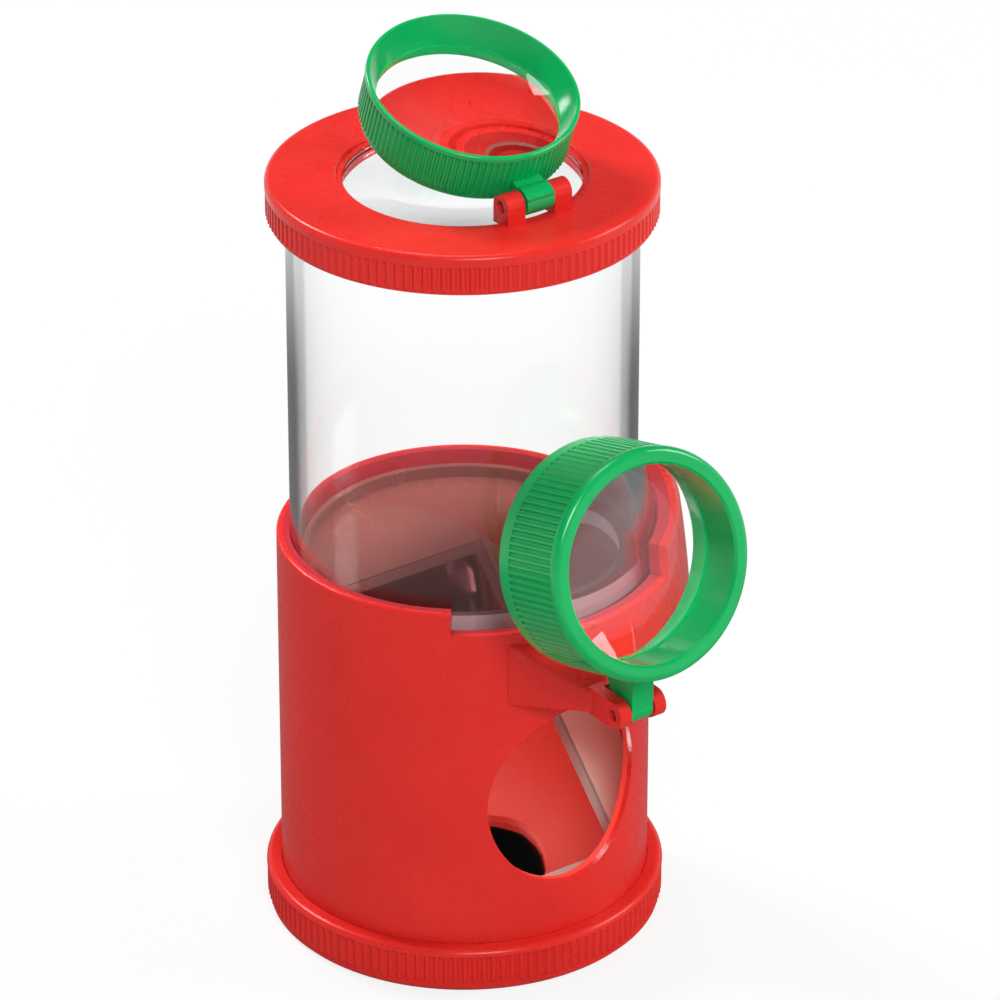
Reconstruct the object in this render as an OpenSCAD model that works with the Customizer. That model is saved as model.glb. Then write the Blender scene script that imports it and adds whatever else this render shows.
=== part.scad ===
// Bug catcher jar: a clear tube stands in a housing with a slanted mirror, under a lid with a flip lens.
// The origin lies on the jar's axis at the underside of the base cap. +Z is up and the window faces -Y.

/* [Chamber] */
// Outer radius of the clear tube, which the housing, the base cap and the lid follow
tube_r = 34.2; // [31:0.1:38]
// Wall of the clear tube
tube_wall = 1.9; // [1.5:0.1:2.6]
// Length of the clear tube
tube_h = 79.6; // [55:0.1:110]
// Thickness of the clear chamber floor
floor_t = 2; // [1.5:0.1:3]
// Thickness of the floor's flange, which the tube stands on
floor_flange_t = 1.2; // [0.8:0.1:1.4]
// Height of the rim round the chamber floor
floor_rim_h = 2.4; // [1.5:0.1:4]
// Wall of the rim round the chamber floor
floor_rim_wall = 1.5; // [1:0.1:2]

/* [Housing] */
// Height of the housing's rim above the table
housing_top = 83.5; // [80:0.5:95]
// Wall of the housing
housing_wall = 2.5; // [1.8:0.1:3]
// Depth of the tube's seat below the rim
seat_depth = 6.7; // [6:0.1:9]
// Depth of the sighting notch in the front of the rim
notch_depth = 4.7; // [3:0.1:5.5]
// Angle from the front to each end of the notch
notch_half_angle = 39.5; // [30:0.5:50]

/* [Window] */
// Width of the oval window
window_w = 35.2; // [28:0.1:38]
// Height of the oval window
window_h = 38.5; // [30:0.1:40]
// Height of the window's centre above the table
window_z = 39.9; // [38:0.1:41]

/* [Mirror] */
// Slope of the mirror
mirror_angle = 45; // [42:0.5:48]
// Thickness of the mirror
mirror_t = 2; // [1.5:0.1:2.5]
// Width of the mirror's bevel
mirror_bevel_w = 2.2; // [1:0.1:3]
// Distance from the side of the mirror to the outside of its stand
mirror_border = 12.2; // [9:0.1:15]
// Wall of the mirror's stand
stand_wall = 1.6; // [1.2:0.1:2.4]

/* [Base cap] */
// Height of the base cap
base_h = 9.7; // [8:0.1:14]
// Thickness of the base cap's floor
base_floor = 2.5; // [2:0.1:3]
// Wall of the base cap
base_wall = 3; // [2.4:0.1:3.6]

/* [Lid] */
// How far the lid reaches past the tube
lid_overhang = 3.8; // [3.4:0.1:5]
// Thickness of the lid's plate
lid_plate_t = 2.4; // [2:0.1:3]
// Depth of the lid's skirt below its plate
lid_skirt_h = 5.8; // [5:0.1:9]
// Radius of the recess round the lid's lens
lid_recess_r = 24.3; // [23.6:0.1:25]
// Depth of that recess
lid_recess_depth = 0.6; // [0.5:0.1:1]
// Radius of the hole over the lid's lens
lid_hole_r = 23.2; // [22:0.1:23.5]
// Radius of curvature of the lid lens's dome
lid_lens_curve_r = 120; // [110:1:180]

/* [Top lens] */
// Outer radius of the flip lens's ring
top_ring_r = 20.8; // [20.4:0.1:21.5]
// Radius that is open to view through the flip lens
top_view_r = 17.9; // [16:0.1:18]
// Height of the flip lens's ring
top_ring_h = 10.9; // [10.5:0.1:13]
// Radius of curvature of both faces of the flip lens
top_lens_curve_r = 190; // [120:1:200]
// How far the flip lens stands open, from lying flat
top_open_angle = 20; // [5:1:60]

/* [Side lens] */
// Outer radius of the side lens's ring
side_ring_r = 22.6; // [22.4:0.1:24]
// Radius that is open to view through the side lens
side_view_r = 19.2; // [18:0.1:19.4]
// Depth of the side lens's ring
side_ring_h = 19; // [17:0.1:21]
// Radius of curvature of both faces of the side lens
side_lens_curve_r = 120; // [80:1:200]
// How far the raised side lens leans back towards the tube
side_lean_angle = 15.5; // [13:0.5:18]

/* [Hinges] */
// Radius of both hinge pins
pin_r = 1.2; // [1:0.05:1.4]
// Width of the flip lens's hinge tab
top_tab_w = 6.3; // [5:0.1:8]
// Width of each ear on the lid
top_ear_w = 4; // [2.5:0.1:5]
// Width of the side lens's hinge tab
side_tab_w = 5; // [4:0.1:8]
// Width of each ear of the bracket
side_ear_w = 2.6; // [2.2:0.1:4]

/* [Grip] */
// Number of flutes round the lid and round the base cap
rim_flutes = 132; // [60:2:160]
// Number of flutes round each lens ring
ring_flutes = 100; // [50:2:120]
// Depth of the flutes
flute_depth = 0.4; // [0.2:0.05:0.6]

/* [Hidden] */

$fn = 96;
red = [0.80, 0.13, 0.12];
green = [0.02, 0.55, 0.24];
cream = [0.84, 0.78, 0.66];
clear = [0.86, 0.90, 0.93, 0.45];
silver = [0.78, 0.80, 0.83];
steel = [0.55, 0.56, 0.58];

// Overrun of every cut
cut = 1;
// Radial clearance of a piece that stands still in its seat
seat_gap = 0.2;
// Radial clearance between the lid and the tube
lid_gap = 0.3;
// Radial clearance of a lens and its retainer in their ring
lens_gap = 0.1;
// Radial clearance of a pin in the ears and in the tab that turns on it
ear_bore_gap = 0.02;
tab_bore_gap = 0.06;
// Clearance between a tab and the ears on each side of it
tab_side_gap = 0.3;
// How far each end of a pin lies inside its ear
pin_inset = 0.9;
// Angles and heights of one rib of a grip band, as shares of its pitch and of its depth
flute_shares = [[-0.36, 0], [-0.14, 1], [0.14, 1], [0.36, 0]];
// How far a plain band stands clear of the tips, or of the roots, of the ribs beside it
lip_proud = 0.1;
// Length of the facets on the circle that a lens face is cut from
lens_facet_w = 3.1;

// Chamber and housing
seat_r = tube_r + seat_gap;
housing_r = seat_r + housing_wall;
ledge_z = housing_top - seat_depth;
ledge_w = 1.1;
ledge_h = 1.6;
rim_round = 0.6;
tube_low_z = ledge_z + floor_flange_t;
tube_top_z = tube_low_z + tube_h;
tube_in_r = tube_r - tube_wall;
floor_r = tube_in_r - seat_gap;
floor_top_z = ledge_z + floor_t;

// Mirror and its stand
stand_r = seat_r - seat_gap;
stand_top_gap = 4;
tray_t = 3.6;
mirror_gap = 0.25;
mirror_bevel_depth = 0.6;
mirror_corner_gap = 1;
mirror_half_w = stand_r - mirror_border;
mirror_half_len = sqrt(pow(stand_r - mirror_corner_gap, 2) - pow(mirror_half_w, 2)) / cos(mirror_angle);
mirror_axis_z = ledge_z - ledge_h - stand_top_gap - stand_r * tan(mirror_angle);

// Window
window_points = 96;

// Base cap
base_gap = 0.1;
base_r = housing_r + base_gap + base_wall;
base_round = 1.4;
base_foot_chamfer = 0.9;

// Lid
lid_r = tube_r + lid_overhang;
lid_low_z = tube_top_z - lid_skirt_h;
lid_top_z = tube_top_z + lid_plate_t;
lid_round = 1.3;
lid_lip = 0.8;
lid_skirt_wall = 1.8;
lid_ribs = 24;
lid_rib_w = 1.2;
lid_rib_lift = 1;
spigot_wall = 1.4;
spigot_h = 3.6;
recess_chamfer = 0.3;

// Lid lens, which lies under the plate and looks out of its hole
lid_lens_r = lid_hole_r - seat_gap;
lid_lens_edge_h = 1.2;
lid_lens_flange_w = 2.2;
lid_lens_flange_t = 1.8;
lid_lens_flange_r = lid_lens_r + lid_lens_flange_w;
collar_wall = 1.4;
collar_h = 4.2;
collar_in_r = lid_lens_flange_r + lens_gap;
lid_retainer_w = 2.3;
lid_retainer_h = 2.2;
lid_ledge_z = lid_top_z - lid_recess_depth;

// Hinge of the top lens
top_knuckle_r = 2.8;
top_knuckle_nose = 2.3;
top_ear_r = 2.4;
top_pivot_lift = 3.1;
top_pivot_inset = 1.5;
top_pivot_y = -(lid_recess_r - top_pivot_inset);
top_pivot_z = lid_top_z + top_pivot_lift;
top_ear_in_x = top_tab_w / 2 + tab_side_gap;
top_ear_out_x = top_ear_in_x + top_ear_w;

// Ring of the top lens, in the frame of its hinge
top_reach = 2.7;
top_ring_y = top_ring_r + top_reach;
top_ring_drop = 2.1;
top_ring_low = -top_ring_drop;
top_ring_high = top_ring_low + top_ring_h;
top_rim_wall = 0.8;
top_rim_h = 1.1;
top_foot_h = 1.5;
top_foot_inset = 0.5;
top_cone_h = 5;
top_seat_z = top_ring_high - top_cone_h;
top_lens_edge_t = 1.5;
top_seat_w = 0.9;
top_bore_r = top_view_r + top_seat_w;
top_lens_r = top_bore_r - lens_gap;
top_retainer_h = 2.2;
top_retainer_w = 1;

// Ring of the side lens, in the frame of its hinge
side_reach = 8.1;
side_ring_y = side_ring_r + side_reach;
side_ring_drop = 4.9;
side_ring_low = -side_ring_drop;
side_ring_high = side_ring_low + side_ring_h;
side_back_h = 3;
side_lip_h = 2;
side_lip_round = 1.4;
side_lip_chamfer = 0.5;
side_back_inset = 0.25;
side_lens_depth = 9;
side_seat_z = side_ring_high - side_lens_depth;
side_lens_edge_t = 1.6;
side_seat_w = 0.9;
side_bore_r = side_view_r + side_seat_w;
side_lens_r = side_bore_r - lens_gap;
side_retainer_h = 2.4;
side_retainer_w = 1;
side_knuckle_r = 2.4;
side_web_h = 10;

// Bracket of the side lens, on the front of the housing above the window
swing_gap = 5.4;
side_pivot_y = -(housing_r + side_ring_high + swing_gap);
window_margin = 3.4;
bracket_low_z = window_z + window_h / 2 + window_margin;
bracket_wall_h = 14.5;
bracket_half_w = 14;
bracket_round = 2;
side_ear_r = 2.8;
side_ear_in_x = side_tab_w / 2 + tab_side_gap;
side_ear_out_x = side_ear_in_x + side_ear_w;
bracket_rise = 2.8;
side_pivot_z = bracket_low_z + bracket_rise + side_ear_r;
slot_depth = 6.4;

// The outline of a grip band: n trapezoid ribs whose tips lie at radius r
function flute_outline(r, n) =
    [for (i = [0:n - 1]) for (s = flute_shares)
        let (a = 360 / n * (i + s[0]), q = r - flute_depth * (1 - s[1])) [q * cos(a), q * sin(a)]];

// How many facets a circle of radius curve_r takes, four at least to each quarter
function dome_facets(curve_r) = 4 * max(4, round(PI * curve_r / 2 / lens_facet_w));

// The height of a spherical face above its edge, at edge radius r
function sag(curve_r, r) = curve_r - sqrt(pow(curve_r, 2) - pow(r, 2));

// How far a convex lens of radius r lies below the ledge that its dome meets at radius view_r
function seat_drop(curve_r, r, view_r) = sag(curve_r, r) - sag(curve_r, view_r);

function window_outline(n) =
    [for (i = [0:n - 1]) let (a = 360 / n * i) [window_w / 2 * cos(a), window_h / 2 * sin(a)]];

// A grip band from height low to height high, bored to bore_r
module grip_band(r, n, bore_r, low, high) {
    translate([0, 0, low])
        difference() {
            linear_extrude(high - low) polygon(flute_outline(r, n));
            translate([0, 0, -cut]) cylinder(r = bore_r, h = high - low + 2 * cut);
        }
}

// A plain ring from height low to height high
module band(r, bore_r, low, high) {
    translate([0, 0, low])
        difference() {
            cylinder(r = r, h = high - low);
            translate([0, 0, -cut]) cylinder(r = bore_r, h = high - low + 2 * cut);
        }
}

// A ring whose outer upper edge is rounded by e
module rounded_band(r, bore_r, low, high, e) {
    rotate_extrude()
        difference() {
            translate([bore_r, low]) square([r - bore_r, high - low]);
            difference() {
                translate([r - e, high - e]) square([e + cut, e + cut]);
                translate([r - e, high - e]) circle(r = e, $fn = 32);
            }
        }
}

// A cone from radius r1 to radius r2 over height h, which runs on past its top
module flare(r1, r2, h) {
    cylinder(r1 = r1, r2 = r2 + (r2 - r1) / h * cut, h = h + cut);
}

// A solid disc with spherical faces: edge_t thick at its edge, standing from height low
module convex_disc(r, edge_t, curve_r, low) {
    rise = sag(curve_r, r);
    rotate_extrude()
        intersection() {
            translate([0, low - rise]) square([r, edge_t + 2 * rise]);
            translate([0, low + edge_t + rise - curve_r]) circle(r = curve_r, $fn = dome_facets(curve_r));
            translate([0, low - rise + curve_r]) circle(r = curve_r, $fn = dome_facets(curve_r));
        }
}

// A rod along X, centred on the origin
module rod(r, w) {
    rotate([0, 90, 0]) cylinder(r = r, h = w, center = true);
}

// Everything below the mirror's sloping plane, lowered square to it by drop
module below_slope(drop) {
    big = 4 * tube_r + 4 * housing_top;
    translate([0, 0, mirror_axis_z])
        rotate([mirror_angle, 0, 0])
            translate([-big / 2, -big / 2, -big - drop]) cube([big, big, big]);
}

module base_cap() {
    tip_r = base_r - lip_proud;
    root_r = tip_r - flute_depth - lip_proud;
    color(red)
        union() {
            rotate_extrude()
                polygon([[0, 0], [root_r - base_foot_chamfer, 0], [root_r, base_foot_chamfer],
                    [root_r, base_floor], [0, base_floor]]);
            grip_band(tip_r, rim_flutes, housing_r + base_gap, base_floor, base_h - base_round);
            rounded_band(base_r, housing_r + base_gap, base_h - base_round, base_h, base_round);
        }
}

module bracket() {
    inset = bracket_round + housing_wall;
    solid_end_y = side_pivot_y + slot_depth;
    difference() {
        union() {
            hull() {
                for (z = [bracket_low_z + bracket_round, bracket_low_z + bracket_wall_h - bracket_round])
                    translate([0, -(housing_r - inset), z]) rod(bracket_round, 2 * bracket_half_w, $fn = 32);
                for (z = [-1, 1])
                    translate([0, solid_end_y + bracket_round, side_pivot_z + z * (side_ear_r - bracket_round)])
                        rod(bracket_round, 2 * side_ear_out_x, $fn = 32);
            }
            translate([0, side_pivot_y, side_pivot_z]) rod(side_ear_r, 2 * side_ear_out_x);
            translate([-side_ear_out_x, side_pivot_y, side_pivot_z - side_ear_r])
                cube([2 * side_ear_out_x, slot_depth + bracket_round, 2 * side_ear_r]);
        }
        translate([-side_ear_in_x, side_pivot_y - side_ear_r - cut, side_pivot_z - side_ear_r - cut])
            cube([2 * side_ear_in_x, slot_depth + side_ear_r + cut, 2 * side_ear_r + 2 * cut]);
    }
}

module housing() {
    color(red)
        union() {
            difference() {
                union() {
                    rounded_band(housing_r, seat_r, base_floor, housing_top, rim_round);
                    bracket();
                }
                translate([0, 0, base_floor]) cylinder(r = seat_r, h = housing_top);
                translate([0, 0, window_z]) rotate([90, 0, 0])
                    linear_extrude(housing_r + cut) polygon(window_outline(window_points));
                translate([0, side_pivot_y, side_pivot_z]) rod(pin_r + ear_bore_gap, 2 * side_ear_out_x + 2 * cut);
                notch_cut();
            }
            band(seat_r + housing_wall / 2, seat_r - ledge_w, ledge_z - ledge_h, ledge_z);
        }
}

// The sector that opens the rim to the side lens
module notch_cut() {
    reach = 2 * housing_r;
    translate([0, 0, housing_top - notch_depth])
        linear_extrude(notch_depth + cut)
            polygon([[0, 0], [-reach * tan(notch_half_angle), -reach], [reach * tan(notch_half_angle), -reach]]);
}

module mirror_stand() {
    color(cream)
        difference() {
            intersection() {
                translate([0, 0, base_floor]) cylinder(r = stand_r, h = housing_top);
                below_slope(0);
            }
            intersection() {
                translate([0, 0, base_floor - cut]) cylinder(r = stand_r - stand_wall, h = housing_top);
                below_slope(tray_t);
            }
            on_slope() translate([0, 0, -mirror_t])
                linear_extrude(mirror_t + cut)
                    square([2 * (mirror_half_w + mirror_gap), 2 * (mirror_half_len + mirror_gap)], center = true);
        }
}

// The frame of the mirror: its face is at height zero
module on_slope() {
    translate([0, 0, mirror_axis_z]) rotate([mirror_angle, 0, 0]) children();
}

// The mirror's cross-section with its two bevelled edges, half_size to each side
module mirror_section(half_size) {
    polygon([[-half_size, -mirror_t], [half_size, -mirror_t], [half_size, -mirror_bevel_depth],
        [half_size - mirror_bevel_w, 0], [mirror_bevel_w - half_size, 0], [-half_size, -mirror_bevel_depth]]);
}

module mirror() {
    color(silver)
        on_slope()
            intersection() {
                translate([0, mirror_half_len + cut, 0]) rotate([90, 0, 0])
                    linear_extrude(2 * (mirror_half_len + cut)) mirror_section(mirror_half_w);
                translate([-mirror_half_w - cut, 0, 0]) rotate([90, 0, 90])
                    linear_extrude(2 * (mirror_half_w + cut)) mirror_section(mirror_half_len);
            }
}

module chamber_floor() {
    color(clear)
        union() {
            translate([0, 0, ledge_z]) cylinder(r = tube_r, h = floor_flange_t);
            translate([0, 0, ledge_z]) cylinder(r = floor_r, h = floor_t);
            band(floor_r, floor_r - floor_rim_wall, floor_top_z, floor_top_z + floor_rim_h);
        }
}

module chamber_tube() {
    color(clear) band(tube_r, tube_in_r, tube_low_z, tube_top_z);
}

module lid() {
    tip_r = lid_r - lip_proud;
    root_r = tip_r - flute_depth - lip_proud;
    skirt_in_r = lid_r - lid_skirt_wall;
    color(red)
        difference() {
            union() {
                rounded_band(lid_r, lid_hole_r, tube_top_z, lid_top_z, lid_round);
                grip_band(tip_r, rim_flutes, skirt_in_r, lid_low_z + lid_lip, tube_top_z);
                band(root_r, skirt_in_r, lid_low_z, lid_low_z + lid_lip);
                band(tube_in_r - lid_gap, tube_in_r - lid_gap - spigot_wall, tube_top_z - spigot_h, tube_top_z);
                band(collar_in_r + collar_wall, collar_in_r, tube_top_z - collar_h, tube_top_z);
                lid_grip_ribs(skirt_in_r);
                top_ears();
            }
            lid_recess();
            translate([0, top_pivot_y, top_pivot_z]) rod(pin_r + ear_bore_gap, 2 * top_ear_out_x + 2 * cut);
        }
}

// The ribs inside the skirt that centre the lid on the tube
module lid_grip_ribs(skirt_in_r) {
    rib_r = tube_r + lid_gap;
    for (i = [0:lid_ribs - 1])
        rotate([0, 0, 360 / lid_ribs * i])
            translate([rib_r, -lid_rib_w / 2, lid_low_z + lid_rib_lift])
                cube([skirt_in_r - rib_r + flute_depth, lid_rib_w, lid_skirt_h - lid_rib_lift]);
}

// The recess round the hole, with its chamfered edge, which leaves the ears standing
module lid_recess() {
    difference() {
        union() {
            translate([0, 0, lid_ledge_z]) cylinder(r = lid_recess_r, h = lid_recess_depth + cut);
            translate([0, 0, lid_top_z - recess_chamfer])
                flare(lid_recess_r, lid_recess_r + recess_chamfer, recess_chamfer);
        }
        top_ears();
    }
}

module top_ears() {
    for (side = [-1, 1])
        translate([side * (top_ear_in_x + top_ear_w / 2), top_pivot_y, 0]) {
            translate([0, 0, top_pivot_z]) rod(top_ear_r, top_ear_w);
            translate([-top_ear_w / 2, -top_ear_r, lid_ledge_z])
                cube([top_ear_w, 2 * top_ear_r, top_pivot_z - lid_ledge_z]);
        }
}

module lid_lens() {
    rise = sag(lid_lens_curve_r, lid_lens_r);
    color(clear)
        union() {
            translate([0, 0, tube_top_z - lid_lens_flange_t])
                cylinder(r = lid_lens_flange_r, h = lid_lens_flange_t);
            rotate_extrude()
                intersection() {
                    translate([0, tube_top_z - lid_lens_flange_t])
                        square([lid_lens_r, lid_lens_flange_t + lid_lens_edge_h + rise]);
                    translate([0, tube_top_z + lid_lens_edge_h + rise - lid_lens_curve_r])
                        circle(r = lid_lens_curve_r, $fn = dome_facets(lid_lens_curve_r));
                }
        }
}

module lid_lens_retainer() {
    high = tube_top_z - lid_lens_flange_t;
    color(red)
        band(collar_in_r - lens_gap, collar_in_r - lens_gap - lid_retainer_w, high - lid_retainer_h, high);
}

// The place of the top lens: X along its hinge, Y to the ring's centre, Z along the lens's axis
module top_frame() {
    translate([0, top_pivot_y, top_pivot_z]) rotate([top_open_angle, 0, 0]) children();
}

// The place of the side lens, in the same axes
module side_frame() {
    translate([0, side_pivot_y, side_pivot_z]) rotate([90 - side_lean_angle, 0, 0]) children();
}

module top_lens_ring() {
    root_r = top_ring_r - flute_depth;
    color(green)
        top_frame()
            difference() {
                union() {
                    translate([0, top_ring_y, 0]) {
                        band(root_r - top_foot_inset, top_bore_r, top_ring_low, top_ring_low + top_foot_h);
                        grip_band(top_ring_r - flute_depth / 2, ring_flutes, top_bore_r,
                            top_ring_low + top_foot_h, top_seat_z);
                        difference() {
                            union() {
                                grip_band(top_ring_r - flute_depth / 2, ring_flutes, top_view_r / 2,
                                    top_seat_z, top_ring_high - top_rim_h);
                                rounded_band(top_ring_r, top_view_r / 2, top_ring_high - top_rim_h,
                                    top_ring_high, top_rim_wall / 2);
                            }
                            translate([0, 0, top_seat_z - flute_depth])
                                cylinder(r = top_view_r, h = top_ring_h);
                            translate([0, 0, top_seat_z])
                                flare(top_view_r, top_ring_r - top_rim_wall, top_cone_h);
                        }
                    }
                    top_tab();
                }
                rod(pin_r + tab_bore_gap, top_tab_w + 2 * cut);
            }
}

module top_tab() {
    rod(top_knuckle_r, top_tab_w);
    translate([-top_tab_w / 2, -top_knuckle_nose, 0]) cube([top_tab_w, top_knuckle_nose, top_knuckle_nose]);
    translate([-top_tab_w / 2, 0, top_ring_low])
        cube([top_tab_w, top_ring_y - top_bore_r - lens_gap, top_knuckle_nose - top_ring_low]);
}

// The height of the flip lens's lower edge, with its dome against the ledge
function top_lens_low() =
    top_seat_z - seat_drop(top_lens_curve_r, top_lens_r, top_view_r) - top_lens_edge_t;

module top_lens() {
    color(clear)
        top_frame()
            translate([0, top_ring_y, 0])
                convex_disc(top_lens_r, top_lens_edge_t, top_lens_curve_r, top_lens_low());
}

module top_lens_retainer() {
    in_r = top_lens_r - top_retainer_w;
    high = top_lens_low() - seat_drop(top_lens_curve_r, top_lens_r, in_r);
    color(green)
        top_frame()
            translate([0, top_ring_y, 0])
                band(top_lens_r, in_r, high - top_retainer_h, high);
}

module top_hinge_pin() {
    color(steel)
        translate([0, top_pivot_y, top_pivot_z]) rod(pin_r, 2 * (top_ear_out_x - pin_inset));
}

module side_lens_ring() {
    grip_low = side_ring_low + side_back_h;
    grip_high = side_ring_high - side_lip_h;
    color(green)
        side_frame()
            difference() {
                union() {
                    translate([0, side_ring_y, 0]) {
                        band(side_ring_r - side_back_inset, side_bore_r, side_ring_low, grip_low);
                        difference() {
                            union() {
                                grip_band(side_ring_r - lip_proud, ring_flutes, side_view_r / 2, grip_low, grip_high);
                                rounded_band(side_ring_r, side_view_r / 2, grip_high, side_ring_high,
                                    side_lip_round);
                            }
                            translate([0, 0, grip_low - cut])
                                cylinder(r = side_bore_r, h = side_seat_z - grip_low + cut);
                            translate([0, 0, side_seat_z - cut]) cylinder(r = side_view_r, h = side_ring_h);
                            translate([0, 0, side_ring_high - side_lip_chamfer])
                                flare(side_view_r, side_view_r + side_lip_chamfer, side_lip_chamfer);
                        }
                    }
                    side_tab();
                }
                rod(pin_r + tab_bore_gap, side_tab_w + 2 * cut);
            }
}

module side_tab() {
    root_y = side_reach + side_back_inset + flute_depth;
    rod(side_knuckle_r, side_tab_w);
    translate([side_tab_w / 2, 0, 0]) rotate([0, -90, 0])
        linear_extrude(side_tab_w)
            polygon([[-side_knuckle_r, 0], [side_ring_low, root_y],
                [side_ring_low + side_web_h, root_y], [side_knuckle_r, 0]]);
}

// The height of the side lens's lower edge, with its dome against the ledge
function side_lens_low() =
    side_seat_z - seat_drop(side_lens_curve_r, side_lens_r, side_view_r) - side_lens_edge_t;

module side_lens() {
    color(clear)
        side_frame()
            translate([0, side_ring_y, 0])
                convex_disc(side_lens_r, side_lens_edge_t, side_lens_curve_r, side_lens_low());
}

module side_lens_retainer() {
    in_r = side_lens_r - side_retainer_w;
    high = side_lens_low() - seat_drop(side_lens_curve_r, side_lens_r, in_r);
    color(green)
        side_frame()
            translate([0, side_ring_y, 0])
                band(side_lens_r, in_r, high - side_retainer_h, high);
}

module side_hinge_pin() {
    color(steel)
        translate([0, side_pivot_y, side_pivot_z]) rod(pin_r, 2 * (side_ear_out_x - pin_inset));
}

base_cap();
housing();
mirror_stand();
mirror();
chamber_floor();
chamber_tube();
lid();
lid_lens();
lid_lens_retainer();
top_lens_ring();
top_lens();
top_lens_retainer();
top_hinge_pin();
side_lens_ring();
side_lens();
side_lens_retainer();
side_hinge_pin();
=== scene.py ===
import math

import bpy
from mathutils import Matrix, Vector


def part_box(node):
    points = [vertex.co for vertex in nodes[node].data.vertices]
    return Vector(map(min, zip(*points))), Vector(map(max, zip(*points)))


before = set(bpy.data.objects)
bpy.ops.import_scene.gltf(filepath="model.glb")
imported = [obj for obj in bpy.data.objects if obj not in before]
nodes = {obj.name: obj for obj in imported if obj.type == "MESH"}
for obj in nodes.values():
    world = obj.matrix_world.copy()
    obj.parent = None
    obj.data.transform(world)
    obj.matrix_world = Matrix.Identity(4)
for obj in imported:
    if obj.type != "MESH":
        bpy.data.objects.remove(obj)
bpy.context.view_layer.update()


# The camera, at the photograph's angle

AZIMUTH, ELEVATION = math.radians(-35.5), math.radians(28.16)
DISTANCE = 1.235
FOCAL_PX, IMAGE_PX, SENSOR_MM = 6252.8, 1000.0, 36.0
CLIP_NEAR, CLIP_FAR = 0.05, 50
# A point on the jar's axis, and where the photograph shows it
AXIS_POINT = Vector((0, 0, 0.076))
AXIS_PX = (463.5, 558.9)

back = Vector((
    math.sin(AZIMUTH) * math.cos(ELEVATION),
    -math.cos(AZIMUTH) * math.cos(ELEVATION),
    math.sin(ELEVATION),
))
right = Vector((math.cos(AZIMUTH), math.sin(AZIMUTH), 0))
up = back.cross(right)
metre_per_px = DISTANCE / FOCAL_PX
across = (IMAGE_PX / 2 - AXIS_PX[0]) * metre_per_px
down = (AXIS_PX[1] - IMAGE_PX / 2) * metre_per_px
aim = AXIS_POINT + right * across + up * down

camera = bpy.data.objects.new("camera", bpy.data.cameras.new("camera"))
bpy.context.scene.collection.objects.link(camera)
camera.data.sensor_width = SENSOR_MM
camera.data.lens = FOCAL_PX / IMAGE_PX * SENSOR_MM
camera.data.clip_start, camera.data.clip_end = CLIP_NEAR, CLIP_FAR
camera.location = AXIS_POINT + back * DISTANCE
camera.rotation_mode = "QUATERNION"
camera.rotation_quaternion = (aim - camera.location).to_track_quat("-Z", "Y")
bpy.context.scene.camera = camera


# Node helpers: a value may be a socket, a plain number or a colour

# The part of a noise's range that it mostly fills
NOISE_RANGE = (0.3, 0.7)


def feed(tree, socket, value):
    """Links a socket to another one, or sets its number or colour."""
    if isinstance(value, bpy.types.NodeSocket):
        tree.links.new(value, socket)
    elif isinstance(value, (int, float)):
        socket.default_value = value
    else:
        socket.default_value = (*value, 1)


def math_node(tree, operation, *values):
    n = tree.nodes.new("ShaderNodeMath")
    n.operation = operation
    for socket, value in zip(n.inputs, values):
        feed(tree, socket, value)
    return n.outputs[0]


def summed(tree, terms):
    """The sum of pairs multiplied together."""
    total = 0
    for a, b in terms:
        total = math_node(tree, "ADD", total, math_node(tree, "MULTIPLY", a, b))
    return total


def map_range(tree, value, source, target, smooth=False):
    """Maps the range source to the range target."""
    n = tree.nodes.new("ShaderNodeMapRange")
    if smooth:
        n.interpolation_type = "SMOOTHSTEP"
    n.inputs["From Min"].default_value, n.inputs["From Max"].default_value = source
    n.inputs["To Min"].default_value, n.inputs["To Max"].default_value = target
    tree.links.new(value, n.inputs["Value"])
    return n.outputs[0]


def mixed_colour(tree, factor, a, b):
    n = tree.nodes.new("ShaderNodeMix")
    n.data_type = "RGBA"
    factor_in, a_in, b_in = n.inputs[0], n.inputs[6], n.inputs[7]
    for socket, value in ((factor_in, factor), (a_in, a), (b_in, b)):
        feed(tree, socket, value)
    return n.outputs[2]


def mixed_shader(tree, factor, a, b):
    n = tree.nodes.new("ShaderNodeMixShader")
    for socket, value in zip(n.inputs, (factor, a, b)):
        tree.links.new(value, socket)
    return n.outputs[0]


def noise(tree, scale, detail, rough=0.5):
    where = tree.nodes.new("ShaderNodeTexCoord")
    n = tree.nodes.new("ShaderNodeTexNoise")
    n.inputs["Scale"].default_value = scale
    n.inputs["Detail"].default_value = detail
    n.inputs["Roughness"].default_value = rough
    tree.links.new(where.outputs["Object"], n.inputs["Vector"])
    return n.outputs["Fac"]


def spread(tree, texture, low, high):
    """Spreads a noise from low to high."""
    return map_range(tree, texture, NOISE_RANGE, (low, high))


def bumped(tree, p, texture, strength, distance):
    n = tree.nodes.new("ShaderNodeBump")
    n.inputs["Strength"].default_value = strength
    n.inputs["Distance"].default_value = distance
    tree.links.new(texture, n.inputs["Height"])
    tree.links.new(n.outputs[0], p.inputs["Normal"])


def vector_math(tree, operation, vector, other=None):
    n = tree.nodes.new("ShaderNodeVectorMath")
    n.operation = operation
    tree.links.new(vector, n.inputs[0])
    if other:
        n.inputs[1].default_value = other
    return n


def geometry(tree, output):
    return tree.nodes.new("ShaderNodeNewGeometry").outputs[output]


def place(tree, axis):
    """The shaded point's coordinate along X, Y or Z."""
    parts = tree.nodes.new("ShaderNodeSeparateXYZ")
    tree.links.new(geometry(tree, "Position"), parts.inputs[0])
    return parts.outputs[axis]


def axis_distance(tree):
    """How far the shaded point is from the jar's axis."""
    flat = vector_math(tree, "MULTIPLY", geometry(tree, "Position"), (1, 1, 0))
    return vector_math(tree, "LENGTH", flat.outputs[0]).outputs["Value"]


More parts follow.
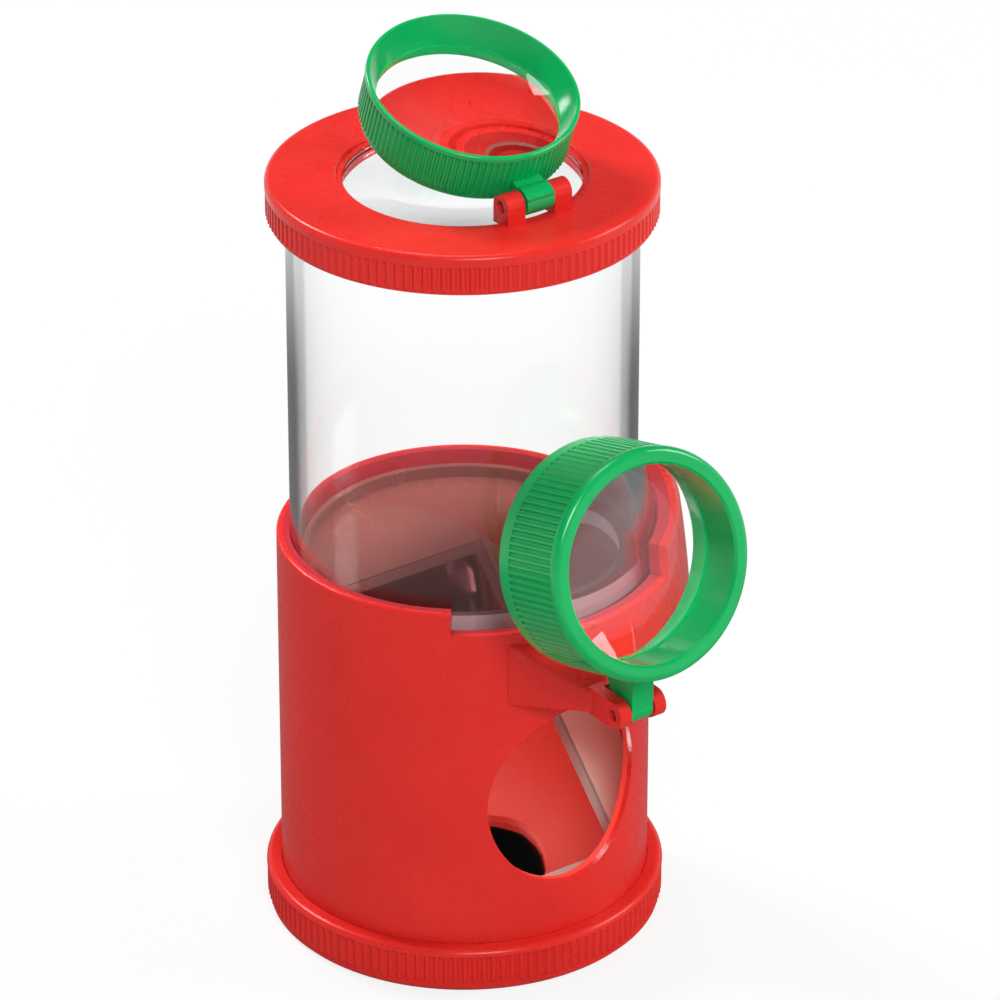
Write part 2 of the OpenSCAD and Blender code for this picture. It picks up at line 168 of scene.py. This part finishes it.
def facing(tree, direction):
    """The cosine of the angle between the face's normal and a direction."""
    normal = geometry(tree, "True Normal")
    return vector_math(tree, "DOT_PRODUCT", normal, direction).outputs["Value"]


def light_path(tree, output):
    return tree.nodes.new("ShaderNodeLightPath").outputs[output]


# Materials

# How far in from its outer face a wall's inside begins, which is about half the wall
TUBE_SKIN, HOUSING_SKIN = 0.0009, 0.0012
tube_inside_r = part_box("chamber_tube")[1].x - TUBE_SKIN
housing_inside_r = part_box("housing")[1].x - HOUSING_SKIN
# The housing's inside has painted light, bright red, up to this far under the chamber floor, and
# painted shade, deep red, above it
PAINTED_LIGHT_DROP = 0.0023
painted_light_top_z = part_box("chamber_floor")[0].z - PAINTED_LIGHT_DROP

MIRROR_TILT = math.radians(45)
MIRROR_NORMAL = (0, -math.sin(MIRROR_TILT), math.cos(MIRROR_TILT))
# Up to this cosine with the mirror's face, a face is its bevel
BEVEL_COSINE = 0.995

# Each moulded colour, where it is palest and where it is deepest
RED_PALE, RED_DEEP = (0.66, 0.022, 0.017), (0.60, 0.018, 0.014)
GREEN_PALE, GREEN_DEEP = (0.004, 0.37, 0.095), (0.003, 0.32, 0.080)
CREAM_PALE, CREAM_DEEP = (0.80, 0.76, 0.66), (0.75, 0.71, 0.60)

# The share of its roughness that moulded and clear plastic has at its glossiest and at its dullest
MOULDED_WEAR, CLEAR_WEAR = (0.86, 1.16), (0.5, 1.5)

PLASTIC_IOR = 1.49
# The lid's lens bends light less, or its dome shows a black total reflection
LID_LENS_IOR = 1.35
LENS_COLOUR = (0.99, 0.993, 0.993)

# The tube's colour, and the painted shade it takes where it is seen edge on, in place of the dark
# reflections there
TUBE_COLOUR, TUBE_EDGE_SHADE_COLOUR = (0.985, 0.992, 0.992), (0.05, 0.052, 0.055)
# Where the painted shade on the wall starts and where it is darkest, and how far each face goes
TUBE_EDGE = (0.69, 0.74)
TUBE_INNER_SHARE, TUBE_OUTER_SHARE = 0.55, 0.83

# The chamber floor's tint, which is painted shade over what is seen through it, its patchy red-brown
# layer and its frosted edge in the notch
FLOOR_SHADE_TINT = (0.26, 0.14, 0.15)
REAR_LAYER_COLOUR, FROST_COLOUR = (0.32, 0.10, 0.085), (0.42, 0.28, 0.30)
# The red-brown layer thickens from the front to the back, and patchily
REAR_LAYER_Y, REAR_LAYER_SHARE, REAR_LAYER_PATCHES = (-0.006, 0.018), (0.03, 0.42), (0.8, 1.2)
FROST_SHARE = 0.6
# Up to this cosine with the vertical, a face is upright
UPRIGHT_COSINE = 0.5

# The housing's inside below the chamber floor, with painted light, and above it, with painted shade,
# and how much duller it is
INNER_PAINTED_LIGHT_COLOUR, INNER_PAINTED_SHADE_COLOUR = (0.86, 0.055, 0.035), (0.38, 0.010, 0.020)
INNER_DULLNESS = 0.3

SILVER_COLOUR, BEVEL_COLOUR = (0.88, 0.89, 0.89), (0.52, 0.50, 0.46)
STEEL_COLOUR = (0.45, 0.45, 0.47)


def new_material(name):
    m = bpy.data.materials.new(name)
    m.use_nodes = True
    tree = m.node_tree
    tree.nodes.clear()
    out = tree.nodes.new("ShaderNodeOutputMaterial")
    p = tree.nodes.new("ShaderNodeBsdfPrincipled")
    tree.links.new(p.outputs[0], out.inputs[0])
    return m, tree, p, out


def moulded(name, pale, deep, rough, peel, specular):
    """Moulded plastic: faint flow variation in its colour, an uneven gloss and a fine orange peel."""
    m, tree, p, _ = new_material(name)
    flow = spread(tree, noise(tree, scale=38, detail=3, rough=0.6), 0, 1)
    tree.links.new(mixed_colour(tree, flow, deep, pale), p.inputs["Base Color"])
    wear = noise(tree, scale=160, detail=4, rough=0.65)
    glossy, dull = (rough * share for share in MOULDED_WEAR)
    tree.links.new(spread(tree, wear, glossy, dull), p.inputs["Roughness"])
    bumped(tree, p, noise(tree, scale=1100, detail=2), strength=peel, distance=0.0003)
    p.inputs["Specular IOR Level"].default_value = specular
    return m, tree, p


def clear(name, colour, ior, rough, lamp_share):
    """Clear plastic, where lamp_share is how much of the lamps' light passes one surface."""
    m, tree, p, out = new_material(name)
    feed(tree, p.inputs["Base Color"], colour)
    p.inputs["IOR"].default_value = ior
    p.inputs["Transmission Weight"].default_value = 1
    haze = noise(tree, scale=240, detail=3, rough=0.6)
    glossy, dull = (rough * share for share in CLEAR_WEAR)
    tree.links.new(spread(tree, haze, glossy, dull), p.inputs["Roughness"])
    film = tree.nodes.new("ShaderNodeBsdfTransparent")
    feed(tree, film.inputs["Color"], (lamp_share, lamp_share, lamp_share))
    glass = mixed_shader(tree, light_path(tree, "Is Shadow Ray"), p.outputs[0], film.outputs[0])
    tree.links.new(glass, out.inputs[0])
    return m, tree, p, out


def red_plastic(name):
    return moulded(name, RED_PALE, RED_DEEP, rough=0.28, peel=0.05, specular=0.2)


def red_housing():
    """The housing: its inside is duller, with painted shade making it deep red round the tube and
    painted light making it bright red by the mirror.
    """
    m, tree, p = red_plastic("red_housing")
    inside = math_node(tree, "LESS_THAN", axis_distance(tree), housing_inside_r)
    gloss = p.inputs["Roughness"].links[0].from_socket
    duller = math_node(tree, "ADD", gloss, math_node(tree, "MULTIPLY", inside, INNER_DULLNESS))
    tree.links.new(duller, p.inputs["Roughness"])
    # Painted light and shade: the inside is bright red below the chamber floor and deep red above it
    above = math_node(tree, "GREATER_THAN", place(tree, "Z"), painted_light_top_z)
    painted_inner_light_and_shade = mixed_colour(tree, above, INNER_PAINTED_LIGHT_COLOUR, INNER_PAINTED_SHADE_COLOUR)
    outer = p.inputs["Base Color"].links[0].from_socket
    tree.links.new(mixed_colour(tree, inside, outer, painted_inner_light_and_shade), p.inputs["Base Color"])
    return m


def clear_tube():
    """The tube, with painted shade on its wall where it is seen edge on, in place of the dark
    reflections there.
    """
    m, tree, p, _ = clear("clear_tube", TUBE_COLOUR, PLASTIC_IOR, rough=0.010, lamp_share=0.9)
    grazing = tree.nodes.new("ShaderNodeLayerWeight")
    grazing.inputs["Blend"].default_value = 0.5
    # Painted shade: the wall darkens where it is seen edge on, more on its outer face
    edge = map_range(tree, grazing.outputs["Facing"], TUBE_EDGE, (0, 1))
    outside = math_node(tree, "GREATER_THAN", axis_distance(tree), tube_inside_r)
    more_outside = TUBE_OUTER_SHARE - TUBE_INNER_SHARE
    depth = math_node(tree, "MULTIPLY_ADD", outside, more_outside, TUBE_INNER_SHARE)
    painted_edge_shade = math_node(tree, "MULTIPLY", edge, depth)
    shade = mixed_colour(tree, painted_edge_shade, TUBE_COLOUR, TUBE_EDGE_SHADE_COLOUR)
    tree.links.new(shade, p.inputs["Base Color"])
    return m


def hazy_floor():
    """The chamber floor: tinted dark as painted shade, with a patchy red-brown layer towards the back
    and a frosted edge at the front.
    """
    # Painted shade: the dark tint dims what is seen through the floor, while the lamps pass through it
    # fully
    m, tree, p, out = clear("hazy_plastic", FLOOR_SHADE_TINT, PLASTIC_IOR, rough=0.02, lamp_share=1.0)
    glass = out.inputs[0].links[0].from_socket
    level = math_node(tree, "ABSOLUTE", facing(tree, (0, 0, 1)))
    upright = math_node(tree, "LESS_THAN", level, UPRIGHT_COSINE)
    front = math_node(tree, "LESS_THAN", place(tree, "Y"), 0)
    frosted = math_node(tree, "MULTIPLY", upright, front)
    # A patchy red-brown diffuse layer, thicker towards the back
    rear_layer = tree.nodes.new("ShaderNodeBsdfDiffuse")
    tree.links.new(mixed_colour(tree, frosted, REAR_LAYER_COLOUR, FROST_COLOUR), rear_layer.inputs["Color"])
    rearward = map_range(tree, place(tree, "Y"), REAR_LAYER_Y, REAR_LAYER_SHARE, smooth=True)
    patches = spread(tree, noise(tree, scale=55, detail=4, rough=0.65), *REAR_LAYER_PATCHES)
    haze = math_node(tree, "MULTIPLY", rearward, patches)
    share = math_node(tree, "MAXIMUM", haze, math_node(tree, "MULTIPLY", frosted, FROST_SHARE))
    # The lamps shine through the red-brown layer as through the rest
    seen = math_node(tree, "SUBTRACT", 1, light_path(tree, "Is Shadow Ray"))
    hazy = mixed_shader(tree, math_node(tree, "MULTIPLY", share, seen), glass, rear_layer.outputs[0])
    tree.links.new(hazy, out.inputs[0])
    return m


def mirror_face():
    """A silvered mirror, smeared and slightly uneven, with a pale, dull ground bevel."""
    m, tree, p, out = new_material("mirror_face")
    p.inputs["Metallic"].default_value = 1
    feed(tree, p.inputs["Base Color"], SILVER_COLOUR)
    smear = noise(tree, scale=60, detail=4, rough=0.6)
    tree.links.new(spread(tree, smear, 0.02, 0.07), p.inputs["Roughness"])
    bumped(tree, p, noise(tree, scale=170, detail=2), strength=0.04, distance=0.0004)
    bevel = tree.nodes.new("ShaderNodeBsdfPrincipled")
    feed(tree, bevel.inputs["Base Color"], BEVEL_COLOUR)
    bevel.inputs["Roughness"].default_value = 0.3
    ground = math_node(tree, "LESS_THAN", facing(tree, MIRROR_NORMAL), BEVEL_COSINE)
    tree.links.new(mixed_shader(tree, ground, p.outputs[0], bevel.outputs[0]), out.inputs[0])
    return m


def pin_steel():
    """A turned steel rod."""
    m, tree, p, _ = new_material("pin_steel")
    p.inputs["Metallic"].default_value = 1
    feed(tree, p.inputs["Base Color"], STEEL_COLOUR)
    turned = noise(tree, scale=700, detail=3, rough=0.6)
    tree.links.new(spread(tree, turned, 0.25, 0.4), p.inputs["Roughness"])
    return m


RED = red_plastic("red_plastic")[0]
GREEN = moulded("green_plastic", GREEN_PALE, GREEN_DEEP, rough=0.17, peel=0.03, specular=0.32)[0]
CREAM = moulded("cream_plastic", CREAM_PALE, CREAM_DEEP, rough=0.42, peel=0.05, specular=0.4)[0]
LENS = clear("lens_plastic", LENS_COLOUR, PLASTIC_IOR, rough=0.006, lamp_share=0.96)[0]
LID_LENS = clear("lid_lens_plastic", LENS_COLOUR, LID_LENS_IOR, rough=0.008, lamp_share=0.96)[0]
STEEL = pin_steel()

WEARS = {
    "base_cap": RED, "housing": red_housing(), "lid": RED, "lid_lens_retainer": RED,
    "mirror_stand": CREAM, "mirror": mirror_face(),
    "chamber_floor": hazy_floor(), "chamber_tube": clear_tube(),
    "lid_lens": LID_LENS, "top_lens": LENS, "side_lens": LENS,
    "top_lens_ring": GREEN, "top_lens_retainer": GREEN,
    "side_lens_ring": GREEN, "side_lens_retainer": GREEN,
    "top_hinge_pin": STEEL, "side_hinge_pin": STEEL,
}
for name, material in WEARS.items():
    slots = nodes[name].material_slots
    if not slots:
        nodes[name].data.materials.append(material)
    for s in slots:
        s.material = material


# Floor and world, which are white to the camera and through glass and darker to the rest

# The strength of white through glass, which makes up for what the glass takes
GLASS_WHITE = 1.1
# What gloss sees: a pale horizon and a pale ceiling, each with its range of heights, in a dark room
HORIZON, ROOM, CEILING = 0.8, 0.002, 0.9
HORIZON_Z, CEILING_Z = (0.15, 0.4), (0.92, 0.975)
# The room's soft light
DIFFUSE_LIGHT = 0.3
# The floor's size and colour, and how far out gloss sees it turn from painted shade near the jar to
# white
FLOOR_HALF, FLOOR_COLOUR = 4, (0.68, 0.68, 0.68)
GLOSS_FLOOR, GLOSS_FLOOR_R = 0.15, (0.24, 0.36)
# How much of the floor glows by itself: to the camera near and far out, through glass, to gloss
CAMERA_SHARE, CAMERA_FLOOR_R = (0.82, 1), (0.4, 1.4)
GLASS_SHARE, GLOSS_SHARE = 0.95, 0.9


def ray_kinds(tree):
    """Whether a ray is from the camera, through clear pieces alone, or off a gloss."""
    path = tree.nodes.new("ShaderNodeLightPath")
    scattered = math_node(tree, "MINIMUM", path.outputs["Diffuse Depth"], 1)
    unscattered = math_node(tree, "SUBTRACT", 1, scattered)
    mirrored = math_node(tree, "MINIMUM", path.outputs["Glossy Depth"], 1)
    gloss = math_node(tree, "MULTIPLY", mirrored, unscattered)
    plain = math_node(tree, "SUBTRACT", unscattered, gloss)
    glass = math_node(tree, "MULTIPLY", path.outputs["Is Transmission Ray"], plain)
    return path.outputs["Is Camera Ray"], glass, gloss


def floor_material():
    m, tree, p, out = new_material("floor")
    feed(tree, p.inputs["Base Color"], FLOOR_COLOUR)
    p.inputs["Roughness"].default_value = 0.9
    p.inputs["Specular IOR Level"].default_value = 0
    camera_ray, glass_ray, gloss_ray = ray_kinds(tree)
    # Painted shade: to gloss the floor is dark near the jar and white further out
    in_gloss = map_range(tree, axis_distance(tree), GLOSS_FLOOR_R, (GLOSS_FLOOR, 1), smooth=True)
    glow = tree.nodes.new("ShaderNodeEmission")
    strength = summed(tree, ((camera_ray, 1), (glass_ray, GLASS_WHITE), (gloss_ray, in_gloss)))
    tree.links.new(strength, glow.inputs["Strength"])
    # Far out, where the lamps don't reach, the floor is as white to the camera as the world
    in_camera = map_range(tree, axis_distance(tree), CAMERA_FLOOR_R, CAMERA_SHARE, smooth=True)
    share = summed(tree, ((camera_ray, in_camera), (glass_ray, GLASS_SHARE), (gloss_ray, GLOSS_SHARE)))
    tree.links.new(mixed_shader(tree, share, p.outputs[0], glow.outputs[0]), out.inputs[0])
    return m


mesh = bpy.data.meshes.new("floor")
corners = [(x * FLOOR_HALF, y * FLOOR_HALF, 0) for x, y in ((-1, -1), (1, -1), (1, 1), (-1, 1))]
mesh.from_pydata(corners, [], [(0, 1, 2, 3)])
mesh.materials.append(floor_material())
floor = bpy.data.objects.new("floor", mesh)
bpy.context.scene.collection.objects.link(floor)

world = bpy.data.worlds.new("world")
bpy.context.scene.world = world
world.use_nodes = True
tree = world.node_tree
tree.nodes.clear()
where = tree.nodes.new("ShaderNodeTexCoord")
parts = tree.nodes.new("ShaderNodeSeparateXYZ")
tree.links.new(where.outputs["Generated"], parts.inputs[0])
horizon = map_range(tree, parts.outputs["Z"], HORIZON_Z, (HORIZON, ROOM), smooth=True)
ceiling = map_range(tree, parts.outputs["Z"], CEILING_Z, (0, CEILING), smooth=True)
room = math_node(tree, "ADD", horizon, ceiling)
camera_ray, glass_ray, gloss_ray = ray_kinds(tree)
seen = summed(tree, ((camera_ray, 1), (glass_ray, 1), (gloss_ray, 1)))
unseen = math_node(tree, "SUBTRACT", 1, seen)
sky = tree.nodes.new("ShaderNodeBackground")
sky.inputs["Color"].default_value = (1, 1, 1, 1)
strength = summed(tree, (
    (camera_ray, 1), (glass_ray, GLASS_WHITE), (gloss_ray, room), (unseen, DIFFUSE_LIGHT),
))
tree.links.new(strength, sky.inputs["Strength"])
out = tree.nodes.new("ShaderNodeOutputWorld")
tree.links.new(sky.outputs[0], out.inputs[0])


# Lamps

def lamp(name, position, target, size, power):
    """A square lamp: its side is in metres and its power in watts."""
    data = bpy.data.lights.new(name, "AREA")
    data.shape, data.size, data.energy = "SQUARE", size, power
    o = bpy.data.objects.new(name, data)
    bpy.context.scene.collection.objects.link(o)
    o.location = position
    o.rotation_mode = "QUATERNION"
    o.rotation_quaternion = (Vector(target) - Vector(position)).to_track_quat("-Z", "Y")


lamp("key", position=(-0.5, -1.2, 1.15), target=(0, 0, 0.08), size=0.5, power=17)
lamp("fill", position=(1.25, -0.7, 0.83), target=(0, 0, 0.08), size=0.6, power=13)
lamp("overhead", position=(0.1, 0.3, 1.7), target=(0, 0, 0.1), size=0.5, power=7)
lamp("back", position=(-0.35, 1.2, 1.3), target=(0, -0.01, 0.06), size=0.4, power=20)

bpy.context.scene.view_settings.view_transform = "Standard"
